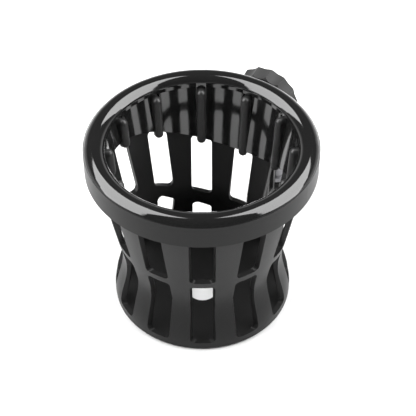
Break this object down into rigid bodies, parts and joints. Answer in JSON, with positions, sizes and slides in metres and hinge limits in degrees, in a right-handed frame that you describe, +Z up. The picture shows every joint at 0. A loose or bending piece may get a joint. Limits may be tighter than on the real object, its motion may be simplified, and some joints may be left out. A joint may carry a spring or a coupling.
{
  "type": "desk clamp cup holder",
  "caption": "Open-cage cup holder with a rounded gloss lip, inner grip ribs and a swivelling screw clamp on its side, locked by a scalloped knob.",
  "frame": {"origin": "centre of the basket's flat underside, on its upright axis", "axes": "+Z up along the basket's axis, +Y from the axis towards the clamp, +X to the right with the clamp at the back"},
  "size_m": [0.104, 0.138, 0.0923],
  "materials": {
    "basket_plastic": "satin black, fine moulded grain",
    "gloss_plastic": "high gloss black",
    "grip_rubber": "soft satin black",
    "knob_plastic": "matte black, textured",
    "cap_plastic": "semi-gloss black",
    "frame_paint": "black powder coat",
    "plated_steel": "zinc plated",
    "brass": "turned",
    "pad_rubber": "matte black"
  },
  "bodies": {
    "holder": {"basket": "basket_plastic", "lip_and_sleeve": "gloss_plastic", "grip_rib_01": "grip_rubber", "grip_rib_02": "grip_rubber", "grip_rib_03": "grip_rubber", "grip_rib_04": "grip_rubber", "grip_rib_05": "grip_rubber", "grip_rib_06": "grip_rubber", "grip_rib_07": "grip_rubber", "grip_rib_08": "grip_rubber", "grip_rib_09": "grip_rubber", "grip_rib_10": "grip_rubber", "grip_rib_11": "grip_rubber", "grip_rib_12": "grip_rubber", "boss_thread_insert": "brass"},
    "clamp": {"clamp_frame": "frame_paint", "friction_disc": "pad_rubber", "thread_bush": "brass", "lower_jaw_pad": "pad_rubber"},
    "lock_slider": {"lock_washer": "plated_steel"},
    "lock_screw": {"lock_knob": "knob_plastic", "lock_stud": "plated_steel", "lock_knob_cap": "cap_plastic"},
    "pad": {"swivel_pad": "plated_steel", "pad_retainer": "plated_steel", "swivel_pad_face": "pad_rubber"},
    "screw": {"clamp_screw": "plated_steel", "screw_knob": "knob_plastic", "screw_knob_cap": "cap_plastic", "screw_cross_pin": "plated_steel"}
  },
  "joints": [
    {"name": "clamp_swivel", "type": "hinge", "parent": "holder", "child": "clamp", "pos_m": [0, 0.0507, 0.0715], "axis": [0, 1, 0], "range_deg": [-90, 90]},
    {"name": "lock_travel", "type": "slide", "parent": "holder", "child": "lock_slider", "axis": [0, 1, 0], "range_m": [0, 0.0025]},
    {"name": "lock_turn", "type": "hinge", "parent": "lock_slider", "child": "lock_screw", "pos_m": [0, 0.058, 0.0715], "axis": [0, 1, 0], "range_deg": [0, 720.5]},
    {"name": "screw_travel", "type": "slide", "parent": "clamp", "child": "pad", "axis": [0, 0, 1], "range_m": [0, 0.022]},
    {"name": "screw_turn", "type": "hinge", "parent": "pad", "child": "screw", "pos_m": [0, 0.076, 0.03], "axis": [0, 0, 1], "range_deg": [0, 3961]}
  ],
  "couplings": [
    {"joint": "lock_turn", "follows": "lock_travel", "rad_per_m": 5026.5},
    {"joint": "screw_turn", "follows": "screw_travel", "rad_per_m": 3141.6}
  ]
}
